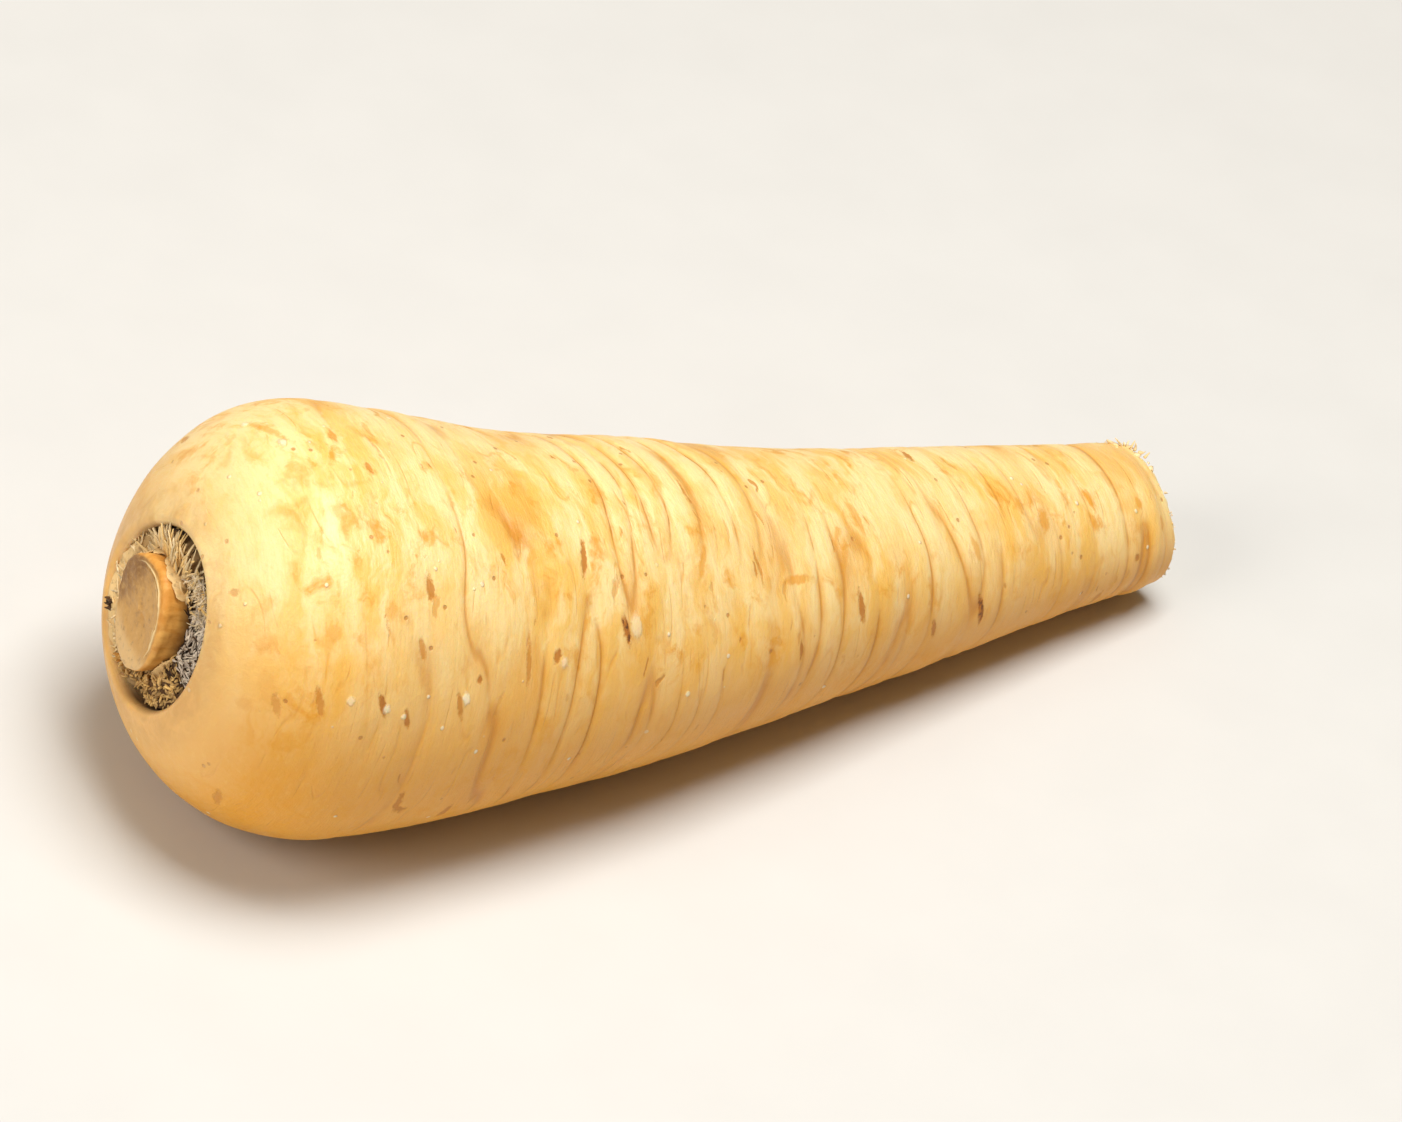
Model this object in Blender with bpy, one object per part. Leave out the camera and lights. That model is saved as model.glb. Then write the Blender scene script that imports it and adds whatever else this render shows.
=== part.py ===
"""A parsnip, trimmed for sale and lying on its side.

The fleshy root has a pit in its crown. The stub of the cut leafstalks stands in the pit, a collar of dried
leaf bases fills the floor round it, and a few papery flakes of leaf sheath stand on the collar.

Everything is modelled along the growing root, which runs along +X from the lip of the pit at x = 0 to the
cut tip, and hangs on one empty that lays the root down. Metres, +Z up, origin at the bottom centre of the box.
"""

import math

import bmesh
import bpy
import numpy as np
from mathutils import Vector

MM = 0.001

# The root. Stations are distances along its middle line, from the lip of the crown's pit.
ROOT_LENGTH = 156 * MM
SHOULDER_RADIUS = 27 * MM
CROWN_HEIGHT = 21.4 * MM
CROWN_FULLNESS = 2.25
TIP_RADIUS = 9.4 * MM
TIP_EDGE = 1.5 * MM
TIP_SLANT = 0.16
TAPER_HANDLE = 0.08
TIP_HANDLE = 0.29
TIP_FLARE = 0.18

# Below the shoulder the side draws in a little more than the taper does.
WAIST_DEPTH = 0.024
WAIST_AT = 48 * MM
WAIST_REACH = 17 * MM

# The root bends sideways by this much in all, the last of it at this station. It lies rolled a little, and
# its sections begin turned so that one of their flats lies underneath.
BEND = math.radians(13.6)
BEND_END = 95 * MM
LIE_ROLL = math.radians(4.5)
FLAT_TURN = math.radians(6.1)

# The pit in the crown, and how round its lip is.
PIT_RADIUS = 12.1 * MM
PIT_DEPTH = 5.2 * MM
PIT_FOOT = 1.0 * MM
LIP_ROUND = 1.1 * MM

# What stands in the pit. Heights are stations too, so the stub ends above the lip.
GAP = 0.3 * MM
STUB_TOP = -1.3 * MM
STUB_HALF_HEIGHT = 7.8 * MM
STUB_HALF_WIDTH = 6.5 * MM
STUB_FOOT_SHARE = 1.06
STUB_WAIST_SHARE = 0.93
STUB_OFFSET = (1.7 * MM, -0.9 * MM)
COLLAR_TOP = 2.7 * MM
COLLAR_LUMP = 0.4 * MM
COLLAR_CLEARANCE = 0.45 * MM
FLAKE_FOOT = 1.9 * MM
FLAKE_THICKNESS = 0.45 * MM
FLAKE_CLEARANCE = 0.5 * MM

# Each flake's place round the stub, its spread, and the station of its point.
FLAKES = (
    (math.radians(102), math.radians(26), -1.0 * MM),
    (math.radians(52), math.radians(17), -0.3 * MM),
    (math.radians(218), math.radians(19), 0.7 * MM),
    (math.radians(284), math.radians(24), 0.2 * MM),
)

ROUND_STEPS = 48
DOME_STEPS = 11
LIP_STEPS = 5
TAPER_STEPS = 24
COLLAR_STEPS = 36
STUB_STEPS = 28
FLAKE_STEPS = 7

SKIN = ("parsnip_skin", (0.83, 0.62, 0.30, 1), 0.5)
STALK = ("cut_leafstalk", (0.48, 0.30, 0.12, 1), 0.75)
DRIED = ("dried_leaf_base", (0.27, 0.20, 0.13, 1), 0.95)
SHEATH = ("papery_sheath", (0.66, 0.50, 0.30, 1), 0.8)


def angles(count):
    """Equal steps round a section, begun so that a flat and not an edge lies underneath."""
    return (np.arange(count) + 0.5) * (2 * math.pi / count) - FLAT_TURN


def middle(station):
    """The middle line's point at a station, and its heading, which grows by a smooth step over the bend."""
    share = min(max(station / BEND_END, 0), 1)
    heading = BEND * share**2 * (3 - 2 * share)
    aside = BEND * BEND_END * (share**3 - share**4 / 2) + BEND * max(station - BEND_END, 0)
    return Vector((station, aside, 0)), heading


def swelling(angle, station):
    """How the root departs from round: a slight flattening, and low lumps that wander down its length."""
    along = station / ROOT_LENGTH
    flat = 0.018 * np.cos(2 * angle)
    three_sided = 0.012 * np.cos(3 * angle + 1.1 + 2.6 * along)
    lumps = 0.008 * np.cos(2 * angle - 7.5 * along + 0.6) + 0.006 * np.cos(5 * angle + 9 * along)
    waves = 0.010 * math.sin(11 * along + 0.4) * np.cos(angle - 0.9 + 4 * along)
    waist = WAIST_DEPTH * math.exp(-(((station - WAIST_AT) / WAIST_REACH) ** 2))
    return 1 + (flat + three_sided + lumps + waves - waist) * min(max(along * 9, 0), 1)


def pit_outline(angle):
    """The pit is slightly egg-shaped, its long way leaning."""
    return 1 + 0.07 * np.cos(2 * angle - 4.5) + 0.025 * np.cos(3 * angle + 0.5)


def stub_outline(angle):
    """The cut leafstalks stand pressed together in one oval."""
    oval = 1 / np.hypot(np.cos(angle) / STUB_HALF_WIDTH, np.sin(angle) / STUB_HALF_HEIGHT)
    return oval * (1 + 0.03 * np.cos(3 * angle - 0.8))


def across(station, radii, angle, centre=(0, 0)):
    """A loop of points square to the middle line, at these radii round a centre given aside and up."""
    point, heading = middle(station)
    aside = centre[0] + radii * np.cos(angle)
    up = centre[1] + radii * np.sin(angle)
    x = point.x - aside * math.sin(heading)
    y = point.y + aside * math.cos(heading)
    return np.stack([x, y, up], axis=1)


def dome(turn):
    """The crown, a quarter of a superellipse: its height above the shoulder, its width and its facing."""
    high = math.cos(turn) ** (2 / CROWN_FULLNESS)
    wide = math.sin(turn) ** (2 / CROWN_FULLNESS)
    power = CROWN_FULLNESS - 1
    facing = math.atan2(wide**power / SHOULDER_RADIUS, high**power / CROWN_HEIGHT)
    return high * CROWN_HEIGHT, wide * SHOULDER_RADIUS, facing


def lip_turn():
    """Where along the dome the lip's arc begins.

    The arc must also touch the pit's wall, so halving the interval finds the turn at which its centre lies
    one arc's radius outside the wall.
    """
    low, high = 0.0, math.pi / 2
    for _ in range(40):
        turn = (low + high) / 2
        _, wide, facing = dome(turn)
        if wide - LIP_ROUND * math.sin(facing) < PIT_RADIUS + LIP_ROUND:
            low = turn
        else:
            high = turn
    return turn


LIP_TURN = lip_turn()
LIP_ABOVE, LIP_WIDE, LIP_FACING = dome(LIP_TURN)
SHOULDER_AT = LIP_ABOVE + LIP_ROUND * (1 - math.cos(LIP_FACING))


def taper(share):
    """The root's side below the shoulder, as a Bezier curve: level at the shoulder, then nearly straight."""
    reach = ROOT_LENGTH - TIP_EDGE - SHOULDER_AT
    drop = SHOULDER_RADIUS - TIP_RADIUS
    left = 1 - share
    along = 3 * left**2 * share * TAPER_HANDLE + 3 * left * share**2 * (1 - TIP_HANDLE) + share**3
    high = left**3 + 3 * left**2 * share + 3 * left * share**2 * TIP_FLARE
    return SHOULDER_AT + reach * along, TIP_RADIUS + drop * high


def root_loops():
    """The root's surface as loops, from the pit's floor over the crown and down to the cut tip."""
    angle = angles(ROUND_STEPS)
    pit = PIT_RADIUS * pit_outline(angle)
    loops = [
        across(PIT_DEPTH, pit * 0.45, angle),
        across(PIT_DEPTH, pit - PIT_FOOT, angle),
        across(PIT_DEPTH - PIT_FOOT, pit, angle),
    ]
    for turn in np.linspace(0, math.pi / 2 + LIP_FACING, LIP_STEPS):
        at = LIP_ROUND * (1 - math.sin(turn))
        loops.append(across(at, pit + LIP_ROUND * (1 - math.cos(turn)), angle))

    # The dome's first loops still follow the pit's outline, which fades out towards the shoulder.
    for turn in np.linspace(LIP_TURN, math.pi / 2, DOME_STEPS + 1)[1:]:
        above, wide, _ = dome(turn)
        at = SHOULDER_AT - above
        fade = ((math.pi / 2 - turn) / (math.pi / 2 - LIP_TURN)) ** 2
        radii = (wide + (pit - PIT_RADIUS) * fade) * swelling(angle, at)
        loops.append(across(at, radii, angle))

    for share in np.linspace(0, 1, TAPER_STEPS + 1)[1:]:
        at, radius = taper(share)
        loops.append(across(at, radius * swelling(angle, at), angle))

    # The cut at the tip slants a little, and its edge is rounded by a quarter arc.
    end = ROOT_LENGTH - TIP_EDGE
    for turn in (math.radians(45), math.radians(90)):
        radius = TIP_RADIUS - TIP_EDGE * (1 - math.cos(turn))
        loops.append(across(end + TIP_EDGE * math.sin(turn), radius * swelling(angle, end), angle))
    loops.append(across(ROOT_LENGTH, 0.5 * TIP_RADIUS * swelling(angle, end), angle))
    for loop in loops[-4:]:
        loop[:, 0] -= TIP_SLANT * (loop[:, 2] + TIP_RADIUS)
    return loops


def stub_loops():
    """The stub, from its foot on the pit's floor up to the cut across the stalks."""
    angle = angles(STUB_STEPS)
    foot = PIT_DEPTH - GAP
    outline = stub_outline(angle)
    heights = (foot, (foot + STUB_TOP) / 2, STUB_TOP + 0.4 * MM, STUB_TOP)
    shares = (STUB_FOOT_SHARE, STUB_WAIST_SHARE, 1.0, 0.95)
    return [across(at, outline * share, angle, STUB_OFFSET) for at, share in zip(heights, shares)]


def collar_loops():
    """The collar's cross-section, carried round the pit between the stub's foot and the wall."""
    angle = angles(COLLAR_STEPS)
    inner = stub_outline(angle) * STUB_FOOT_SHARE + GAP
    outer = PIT_RADIUS * pit_outline(angle) - COLLAR_CLEARANCE
    foot = PIT_DEPTH - GAP
    top = COLLAR_TOP + COLLAR_LUMP * np.cos(5 * angle + 1) * np.cos(2 * angle)
    section = []
    for at, radii, centre in (
        (foot, inner, STUB_OFFSET),
        (foot, outer - PIT_FOOT, (0, 0)),
        (foot - PIT_FOOT, outer, (0, 0)),
        (COLLAR_TOP + COLLAR_LUMP, outer, (0, 0)),
        (COLLAR_TOP + COLLAR_LUMP, inner, STUB_OFFSET),
    ):
        section.append(across(at, radii, angle, centre))
    section[3][:, 0] = top + 0.2 * MM
    section[4][:, 0] = top
    return [np.array([loop[i] for loop in section]) for i in range(COLLAR_STEPS)]


def flake_loops(place, spread, point_at):
    """A flake is a thin curved plate beside the stub, highest in the middle and low at its two edges."""
    loops = []
    for share in np.linspace(-1, 1, FLAKE_STEPS):
        angle = np.array([place + spread * share])
        near = stub_outline(angle) * STUB_FOOT_SHARE + FLAKE_CLEARANCE
        far = near + FLAKE_THICKNESS
        low = FLAKE_FOOT
        high = point_at + (FLAKE_FOOT - point_at) * 0.7 * abs(share) ** 1.5
        corners = ((low, near), (low, far), (high, far), (high, near))
        loops.append(np.concatenate([across(at, radius, angle, STUB_OFFSET) for at, radius in corners]))
    return loops


def finish_material(name, colour, roughness):
    made = bpy.data.materials.new(name)
    made.use_nodes = True
    shader = made.node_tree.nodes["Principled BSDF"]
    shader.inputs["Base Color"].default_value = colour
    shader.inputs["Roughness"].default_value = roughness
    return made


def loft(name, loops, finish, holder, cyclic=False):
    """A closed skin over loops of points. Its ends are capped, or joined to each other when it is cyclic."""
    mesh = bpy.data.meshes.new(name)
    bm = bmesh.new()
    rows = [[bm.verts.new(point) for point in loop] for loop in loops]
    if cyclic:
        rows.append(rows[0])
    else:
        caps = [bm.faces.new(rows[0]), bm.faces.new(rows[-1])]
        bmesh.ops.poke(bm, faces=[cap for cap in caps if len(cap.verts) > 4])
    for row, following in zip(rows, rows[1:]):
        for i in range(len(row)):
            j = (i + 1) % len(row)
            bm.faces.new((row[i], row[j], following[j], following[i]))
    bmesh.ops.recalc_face_normals(bm, faces=bm.faces)
    bm.to_mesh(mesh)
    bm.free()
    mesh.shade_smooth()
    mesh.set_sharp_from_angle(angle=math.radians(50))
    mesh.materials.append(finish)
    piece = bpy.data.objects.new(name, mesh)
    bpy.context.scene.collection.objects.link(piece)
    piece.parent = holder
    return piece


def turned(points, pitch):
    """Points rolled about the X axis and then pitched about the Y axis, which lowers the tip."""
    y = points[:, 1] * math.cos(LIE_ROLL) - points[:, 2] * math.sin(LIE_ROLL)
    up = points[:, 1] * math.sin(LIE_ROLL) + points[:, 2] * math.cos(LIE_ROLL)
    x = points[:, 0] * math.cos(pitch) + up * math.sin(pitch)
    return np.stack([x, y, up * math.cos(pitch) - points[:, 0] * math.sin(pitch)], axis=1)


def resting_pitch(points):
    """The pitch at which the shoulder and the tip are equally low, found by halving the interval."""
    thick = points[:, 0] < ROOT_LENGTH / 2
    low, high = 0.0, math.radians(20)
    for _ in range(40):
        pitch = (low + high) / 2
        height = turned(points, pitch)[:, 2]
        if height[thick].min() < height[~thick].min():
            low = pitch
        else:
            high = pitch
    return pitch


def lay_down(holder, pieces):
    """Turns and places the empty so that the root rests on z = 0 with its box centred on the origin."""
    points = np.array([vertex.co for piece in pieces for vertex in piece.data.vertices])
    pitch = resting_pitch(points)
    lying = turned(points, pitch)
    lowest = lying.min(axis=0)
    highest = lying.max(axis=0)
    holder.rotation_euler = (LIE_ROLL, pitch, 0)
    holder.location = (-(lowest[0] + highest[0]) / 2, -(lowest[1] + highest[1]) / 2, -lowest[2])


def main():
    for old in list(bpy.data.objects):
        bpy.data.objects.remove(old)
    holder = bpy.data.objects.new("lying_root", None)
    bpy.context.scene.collection.objects.link(holder)
    skin, stalk, dried, sheath = (finish_material(*finish) for finish in (SKIN, STALK, DRIED, SHEATH))
    pieces = [
        loft("root", root_loops(), skin, holder),
        loft("leafstalk_stub", stub_loops(), stalk, holder),
        loft("leaf_base_collar", collar_loops(), dried, holder, cyclic=True),
    ]
    for number, flake in enumerate(FLAKES, start=1):
        pieces.append(loft(f"sheath_flake_{number}", flake_loops(*flake), sheath, holder))
    lay_down(holder, pieces)


main()
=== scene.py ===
"""The looks of a trimmed parsnip lying on its side.

Every piece is worked out along the growing root, which runs along +X from the lip of the crown's pit to the
cut tip, and is then laid down with one turn and one shift, as the CAD is. Metres, +Z up.
"""

import itertools
import math

import bpy
import numpy as np
from mathutils import Euler, Matrix, Vector


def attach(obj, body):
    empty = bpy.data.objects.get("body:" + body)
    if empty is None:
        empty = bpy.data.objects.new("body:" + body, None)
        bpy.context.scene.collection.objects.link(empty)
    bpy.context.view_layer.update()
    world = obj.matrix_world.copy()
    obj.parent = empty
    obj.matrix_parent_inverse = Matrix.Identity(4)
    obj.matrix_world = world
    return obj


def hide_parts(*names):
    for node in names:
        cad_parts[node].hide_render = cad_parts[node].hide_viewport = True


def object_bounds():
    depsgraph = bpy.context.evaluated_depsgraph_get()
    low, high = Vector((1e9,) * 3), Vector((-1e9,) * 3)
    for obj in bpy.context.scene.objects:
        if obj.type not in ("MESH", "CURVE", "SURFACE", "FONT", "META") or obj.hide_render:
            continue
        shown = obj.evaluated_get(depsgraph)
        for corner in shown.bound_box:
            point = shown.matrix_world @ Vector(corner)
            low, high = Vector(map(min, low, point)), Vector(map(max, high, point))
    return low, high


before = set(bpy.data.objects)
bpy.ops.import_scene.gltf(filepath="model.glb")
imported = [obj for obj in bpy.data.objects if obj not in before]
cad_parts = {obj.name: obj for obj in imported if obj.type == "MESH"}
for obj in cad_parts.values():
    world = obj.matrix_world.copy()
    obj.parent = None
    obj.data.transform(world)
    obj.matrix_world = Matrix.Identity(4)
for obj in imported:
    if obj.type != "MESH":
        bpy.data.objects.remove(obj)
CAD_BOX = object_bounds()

MM = 0.001

# The CAD's own sizes. Stations are distances along the root's middle line, from the pit's lip.
ROOT_LENGTH = 156 * MM
SHOULDER_RADIUS = 27 * MM
CROWN_HEIGHT = 21.4 * MM
CROWN_FULLNESS = 2.25
TIP_RADIUS = 9.4 * MM
TIP_EDGE = 1.5 * MM
TIP_SLANT = 0.16
TAPER_HANDLE = 0.08
TIP_HANDLE = 0.29
TIP_FLARE = 0.18
WAIST_DEPTH = 0.024
WAIST_AT = 48 * MM
WAIST_REACH = 17 * MM
BEND = math.radians(13.6)
BEND_END = 95 * MM
PIT_RADIUS = 12.1 * MM
PIT_DEPTH = 5.2 * MM
PIT_FOOT = 1.0 * MM
LIP_ROUND = 1.1 * MM
FOOT = PIT_DEPTH - 0.3 * MM
STUB_TOP = -1.3 * MM
STUB_HALF_HEIGHT = 7.8 * MM
STUB_HALF_WIDTH = 6.5 * MM
STUB_FOOT_SHARE = 1.06
STUB_OFFSET = (1.7 * MM, -0.9 * MM)
FLAKE_FOOT = 1.9 * MM
# Each flake's place round the root, half its spread, and the station of its point.
FLAKES = (
    (math.radians(102), math.radians(26), -1.0 * MM),
    (math.radians(52), math.radians(17), -0.3 * MM),
    (math.radians(218), math.radians(19), 0.7 * MM),
    (math.radians(284), math.radians(24), 0.2 * MM),
)

# How the grown root is turned and moved to lie down.
LIE_TURN = Euler((math.radians(4.5), math.radians(8.0844), 0)).to_matrix()
LIE_AT = (-76.301 * MM, -3.798 * MM, 28.906 * MM)

# How finely the meshes are cut, and how many of the skin's rings are in the pit and its lip.
ROUND_STEPS = 230
STUB_STEPS = 190
COLLAR_STEPS = 260
STRAND_STEPS = 6
STRAND_SIDES = 5
PIT_ROWS = 36

# How far the skin's folds, wrinkles, lumps, dents and specks stand proud, in mm.
FOLDS = 0.44
WRINKLES = 0.06
LUMPS = 0.5
DENTS = 0.16
SPECKS = 0.22

# What the stub's edge, its dished face, its rims and its roughness measure.
STUB_ROUND = 0.7 * MM
STUB_DISH = 0.35 * MM
RIM_HEIGHT = 0.34 * MM
STUB_ROUGH = 0.20 * MM

# Colours of dried leaf tissue, as linear light. DARK also paints the shade in the collar's crevice.
CREAM = (0.88, 0.62, 0.29)
PALE = (0.93, 0.76, 0.48)
TAN = (0.50, 0.31, 0.13)
AMBER = (0.60, 0.27, 0.05)
YELLOW = (0.82, 0.54, 0.19)
ASH = (0.58, 0.49, 0.42)
WOOL = (0.90, 0.79, 0.64)
BARK = (0.12, 0.06, 0.025)
DARK = (0.03, 0.016, 0.010)

# Colours of the skin and of the cut leafstalk, as linear light. Some of them are painted shade: the
# underside, the pit's dark wall, the soil by the pit's rim, and the stalk's foot.
SKIN = {
    "cream": (0.95, 0.745, 0.36, 1),
    "gold": (0.89, 0.545, 0.135, 1),
    "amber": (0.76, 0.34, 0.035, 1),
    "painted_shade_underside": (0.80, 0.345, 0.010, 1),
    "crease": (0.60, 0.22, 0.012, 1),
    "mark_edge": (0.66, 0.27, 0.025, 1),
    "mark": (0.46, 0.14, 0.010, 1),
    "mark_heart": (0.07, 0.022, 0.008, 1),
    "prick": (0.50, 0.19, 0.03, 1),
    "speck": (0.97, 0.86, 0.60, 1),
    "crown": (0.90, 0.63, 0.28, 1),
    "soil_and_rim_shade": (0.52, 0.27, 0.09, 1),
    "painted_shade_wall": (0.085, 0.045, 0.022, 1),
    "pale_wall": (0.80, 0.58, 0.30, 1),
    "wall_stain": (0.30, 0.17, 0.07, 1),
    "flesh": (0.96, 0.80, 0.44, 1),
    "flesh_grain": (0.84, 0.58, 0.24, 1),
}
STALK = {
    "face": (0.62, 0.345, 0.105, 1),
    "dark_face": (0.29, 0.135, 0.035, 1),
    "pale_face": (0.85, 0.60, 0.30, 1),
    "pale_grain": (0.82, 0.54, 0.23, 1),
    "dark_grain": (0.24, 0.12, 0.035, 1),
    "rim": (0.93, 0.72, 0.38, 1),
    "side": (0.66, 0.28, 0.045, 1),
    "side_rib": (0.80, 0.42, 0.10, 1),
    "foot": (0.13, 0.055, 0.018, 1),
}

# Marks on the skin: station and half width along the root in mm, place and half reach round it in degrees and
# mm, slant, and strength. Angles run from aside towards up, so 90 is the top and 180 faces the front.
BROWN_MARKS = (
    (52.4, 0.55, 143, 1.9, 0.25, 1.0),
    (42.0, 0.55, 149, 1.0, -0.2, 0.8),
    (37.9, 0.40, 150, 3.4, 0.05, 0.55),
    (23.4, 0.60, 129, 1.8, 0.15, 0.7),
    (22.4, 0.50, 145, 1.5, 0.25, 0.55),
    (18.0, 0.45, 160, 1.5, 0.35, 0.85),
    (21.6, 0.40, 164, 1.3, 0.3, 0.8),
    (28.6, 0.40, 161, 1.8, 0.3, 0.65),
    (31.0, 0.45, 154, 0.6, 0.0, 0.8),
    (10.6, 0.50, 161, 1.9, 0.3, 0.6),
    (6.4, 0.45, 165, 1.5, 0.3, 0.5),
    (1.7, 0.40, 128, 0.5, 0.0, 0.7),
    (6.4, 0.50, 213, 1.6, 0.3, 0.6),
    (81.6, 0.40, 162, 1.6, 0.2, 0.8),
    (115.5, 0.50, 168, 2.2, 0.3, 0.95),
    (106.9, 0.45, 171, 1.5, 0.3, 0.75),
    (145.6, 0.45, 163, 0.6, 0.0, 0.7),
    (66.0, 0.40, 31, 2.0, 0.2, 0.7),
    (92.0, 0.50, 330, 2.2, -0.2, 0.8),
    (47.0, 0.50, 300, 2.4, 0.2, 0.8),
    (33.0, 0.50, 20, 1.8, 0.1, 0.7),
    (112.0, 0.45, 250, 1.8, 0.2, 0.8),
)
AMBER_MARKS = (
    (5.4, 1.0, 161, 2.6, 0.2, 0.5),
    (3.8, 0.8, 169, 0.9, 0.0, 0.8),
    (17.9, 1.0, 135, 1.3, 0.0, 0.6),
    (11.0, 0.9, 141, 1.2, 0.0, 0.6),
    (12.9, 0.8, 108, 1.2, 0.3, 0.6),
    (9.8, 0.5, 69, 3.6, 0.2, 0.7),
    (65.9, 0.55, 123, 2.0, -0.4, 0.8),
    (94.5, 0.8, 110, 2.6, 0.1, 0.75),
    (128.3, 1.0, 125, 1.7, 0.0, 0.9),
    (124.8, 0.6, 114, 1.3, 0.1, 0.8),
    (138.0, 0.6, 114, 1.2, 0.0, 0.8),
    (137.5, 0.7, 131, 1.3, 0.3, 0.8),
    (146.9, 0.6, 123, 0.9, 0.0, 0.9),
    (151.6, 0.8, 142, 1.1, 0.0, 0.9),
    (81.0, 2.6, 134, 0.6, 0.0, 0.85),
    (114.4, 0.7, 135, 2.0, 0.3, 0.7),
    (90.2, 0.6, 127, 2.3, -0.4, 0.6),
)
PALE_SPECKS = (
    (54.0, 0.9, 142, 1.5, 0.1, 0.6),
    (18.6, 0.5, 161, 0.6, 0.0, 1.0),
    (21.0, 0.4, 163, 0.4, 0.0, 1.0),
    (29.3, 0.5, 159, 0.9, 0.2, 1.0),
    (43.0, 0.6, 151, 0.7, 0.0, 0.6),
    (62.9, 0.4, 168, 0.4, 0.0, 0.9),
    (13.9, 0.5, 159, 0.6, 0.0, 0.6),
    (10.2, 0.5, 79, 0.7, 0.0, 0.9),
    (8.8, 0.4, 61, 0.6, 0.0, 0.8),
)

# The collar's patches: name, seed, count, places, shares, comb, lengths, half-widths, flatness and tints.
PATCHES = (
    (
        "ashen_fibres", 41, 250, (138, 202), (0.02, 0.88),
        (0.75, -0.8, 0.3, 0.16), (1.5, 2.9), (0.13, 0.21), 0.8, (ASH, WOOL),
    ),
    (
        "dark_fibres", 42, 130, (132, 215), (0.0, 0.95),
        (0.7, -0.7, 0.4, 0.3), (1.2, 2.4), (0.08, 0.15), 0.8, (DARK, BARK),
    ),
    (
        "cream_ribbons", 43, 210, (12, 138), (0.0, 0.5),
        (1.0, -0.15, 0.3, 0.25), (2.0, 3.8), (0.20, 0.42), 0.35, (PALE, YELLOW),
    ),
    (
        "wool", 44, 300, (112, 148), (0.3, 0.75),
        (0.3, 0.0, 0.7, 0.8), (0.8, 1.7), (0.06, 0.10), 1.0, (WOOL, PALE),
    ),
    (
        "yellow_grains", 45, 330, (198, 285), (0.0, 0.95),
        (0.2, 0.0, 0.6, 0.8), (0.5, 1.2), (0.14, 0.30), 0.8, (YELLOW, TAN),
    ),
    (
        "pale_threads", 46, 90, (285, 378), (0.1, 0.9),
        (0.6, 0.3, 0.15, 0.35), (0.8, 2.0), (0.12, 0.26), 0.4, (PALE, CREAM),
    ),
    (
        "lip_bristles", 47, 9, (319, 327), (0.72, 0.9),
        (0.6, 0.4, 0.6, 0.4), (0.7, 1.2), (0.16, 0.26), 0.9, (DARK, BARK),
    ),
    (
        "lip_crumb", 48, 7, (284, 293), (0.72, 0.9),
        (0.5, 0.0, 0.8, 0.5), (0.7, 1.1), (0.2, 0.3), 0.9, (AMBER, YELLOW),
    ),
)

# The camera's turns aside, up and rolled, in degrees, its distance, and its lens in mm.
CAMERA_TURNS = (-32, 36, -15)
CAMERA_DISTANCE = 1.12
CAMERA_LENS = 228
TABLE_REACH = 6.0


# Shape


def soft_noise(x, y, z, seed):
    """Smooth random values from 0 to 1: a box of random numbers, read between its points.

    A point's value is its cell's eight corners, each weighted by the product of three shares. A share is the
    square of the distance into the cell times three less twice that distance, or what is left of one.
    """
    table = np.random.default_rng(seed).random((32, 32, 32))
    x, y, z = np.broadcast_arrays(x, y, z)
    cells = [np.floor(v).astype(int) for v in (x, y, z)]
    eased = [(v - c) ** 2 * (3 - 2 * (v - c)) for v, c in zip((x, y, z), cells)]
    total = np.zeros(x.shape)
    for corner in itertools.product((0, 1), repeat=3):
        weight = np.ones(x.shape)
        for ease, side in zip(eased, corner):
            weight = weight * (ease if side else 1 - ease)
        i, j, k = ((c + side) % 32 for c, side in zip(cells, corner))
        total += weight * table[i, j, k]
    return total


def along_root(station, aside, up):
    """Places beside and above the middle line, whose heading turns by a smooth step over the bend.

    The heading is the bend times the square of the share gone times three less twice the share. The line's
    shift aside is its integral.
    """
    station, aside, up = np.broadcast_arrays(station, aside, up)
    share = np.clip(station / BEND_END, 0, 1)
    heading = BEND * share**2 * (3 - 2 * share)
    shift = BEND * BEND_END * (share**3 - share**4 / 2) + BEND * np.maximum(station - BEND_END, 0)
    return np.stack([station - aside * np.sin(heading), shift + aside * np.cos(heading), up], axis=-1)


def laid(points):
    """The growing root's places, turned and moved to where it lies. Nothing goes below the floor."""
    turned = points @ np.array(LIE_TURN).T + np.array(LIE_AT)
    turned[..., 2] = np.maximum(turned[..., 2], 0)
    return turned


def swelling(angle, station):
    """How the root departs from round, as the CAD has it: low lumps that wander, and the drawn-in waist."""
    along = station / ROOT_LENGTH
    flat = 0.018 * np.cos(2 * angle)
    three_sided = 0.012 * np.cos(3 * angle + 1.1 + 2.6 * along)
    lumps = 0.008 * np.cos(2 * angle - 7.5 * along + 0.6) + 0.006 * np.cos(5 * angle + 9 * along)
    waves = 0.010 * np.sin(11 * along + 0.4) * np.cos(angle - 0.9 + 4 * along)
    waist = WAIST_DEPTH * np.exp(-(((station - WAIST_AT) / WAIST_REACH) ** 2))
    return 1 + (flat + three_sided + lumps + waves - waist) * np.clip(along * 9, 0, 1)


def pit_outline(angle):
    """The pit is slightly egg-shaped, its long way leaning."""
    return 1 + 0.07 * np.cos(2 * angle - 4.5) + 0.025 * np.cos(3 * angle + 0.5)


def stub_outline(angle):
    """The cut leafstalks stand pressed together in one oval."""
    oval = 1 / np.hypot(np.cos(angle) / STUB_HALF_WIDTH, np.sin(angle) / STUB_HALF_HEIGHT)
    return oval * (1 + 0.03 * np.cos(3 * angle - 0.8))


def dome(turn):
    """The crown, a quarter of a superellipse: its height above the shoulder, its width and its facing."""
    high = np.cos(turn) ** (2 / CROWN_FULLNESS)
    wide = np.sin(turn) ** (2 / CROWN_FULLNESS)
    power = CROWN_FULLNESS - 1
    facing = np.arctan2(wide**power / SHOULDER_RADIUS, high**power / CROWN_HEIGHT)
    return high * CROWN_HEIGHT, wide * SHOULDER_RADIUS, facing


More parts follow.
